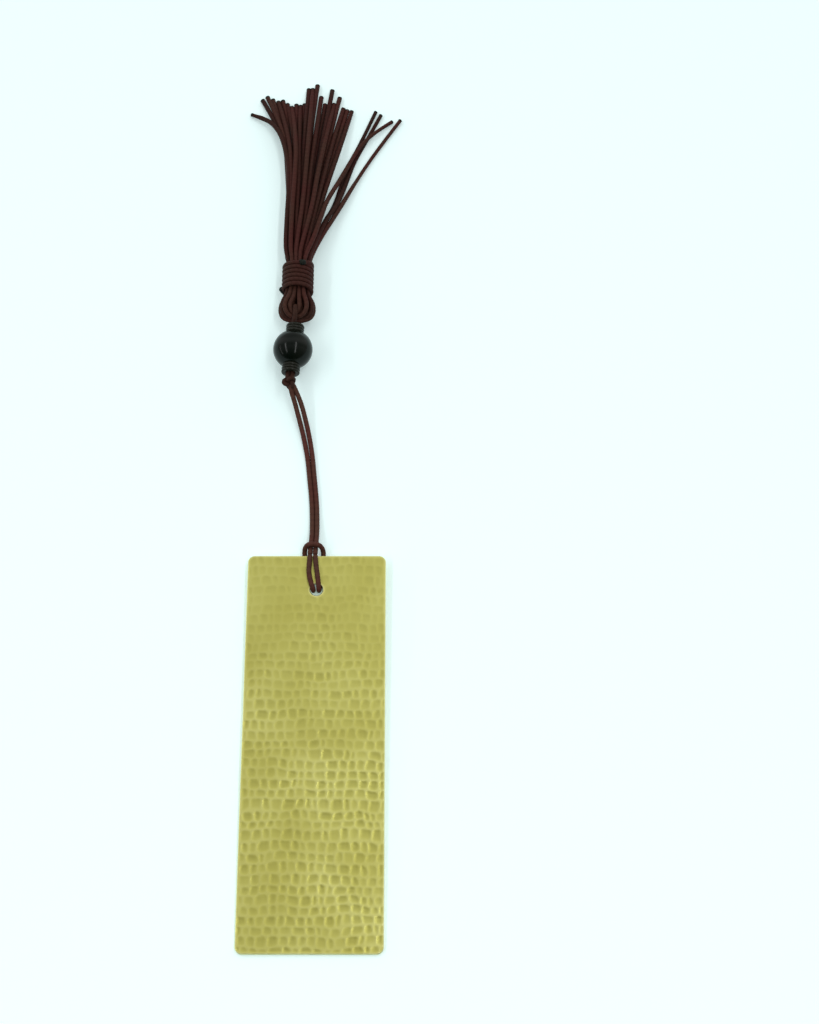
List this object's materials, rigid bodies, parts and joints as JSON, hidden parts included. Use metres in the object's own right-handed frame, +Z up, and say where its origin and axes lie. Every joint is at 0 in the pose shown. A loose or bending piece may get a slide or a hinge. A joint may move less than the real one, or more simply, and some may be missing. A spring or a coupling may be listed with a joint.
{
  "type": "bookmark",
  "caption": "Hammered brass blade with a cord hitched through its hole, carrying a stopper knot, a turned bead and a bound cord tassel.",
  "frame": {"origin": "on the table under the middle of the blade, which leans on the cord behind its top end", "axes": "+Y along the blade from its plain end to the holed end and on to the tassel, +X to the right seen from above, +Z up from the table"},
  "size_m": [0.0492, 0.2828, 0.012],
  "materials": {
    "brass": "hammered in close rows, lightly polished, unlacquered",
    "cord": "waxed braided cord, dark maroon brown",
    "bead": "turned, near black, polished to a gloss"
  },
  "bodies": {
    "plate": {"brass_plate": "brass", "cord_hitch": "cord"},
    "cord": {"hanging_cord_left": "cord", "hanging_cord_right": "cord"},
    "knot": {"stopper_knot": "cord"},
    "loop": {"tassel_loop": "cord"},
    "bead": {"bead": "bead"},
    "tassel": {"tassel_binding": "cord", "tassel_strand_01": "cord", "tassel_strand_02": "cord", "tassel_strand_03": "cord", "tassel_strand_04": "cord", "tassel_strand_05": "cord", "tassel_strand_06": "cord", "tassel_strand_07": "cord", "tassel_strand_08": "cord", "tassel_strand_09": "cord", "tassel_strand_10": "cord", "tassel_strand_11": "cord", "tassel_strand_12": "cord", "tassel_strand_13": "cord"}
  },
  "joints": [
    {"name": "cord_fold", "type": "hinge", "parent": "plate", "child": "cord", "pos_m": [-0.00125, 0.05748, 0.00333], "axis": [1, 0, 0], "range_deg": [-150, 150], "deforming": ["hanging_cord_left", "hanging_cord_right"]},
    {"name": "knot_sway", "type": "hinge", "parent": "cord", "child": "knot", "pos_m": [-0.00925, 0.11263, 0.006], "axis": [0, 0, 1], "range_deg": [-40, 40]},
    {"name": "bead_fold", "type": "hinge", "parent": "knot", "child": "loop", "pos_m": [-0.00925, 0.11263, 0.006], "axis": [0.9976, -0.0698, 0], "range_deg": [-30, 30]},
    {"name": "bead_spin", "type": "hinge", "parent": "loop", "child": "bead", "pos_m": [-0.00846, 0.12395, 0.006], "axis": [0.0698, 0.9976, 0], "continuous": true},
    {"name": "tassel_sway", "type": "hinge", "parent": "loop", "child": "tassel", "pos_m": [-0.0076, 0.1392, 0.00475], "axis": [0, 0, 1], "range_deg": [-60, 60]}
  ]
}
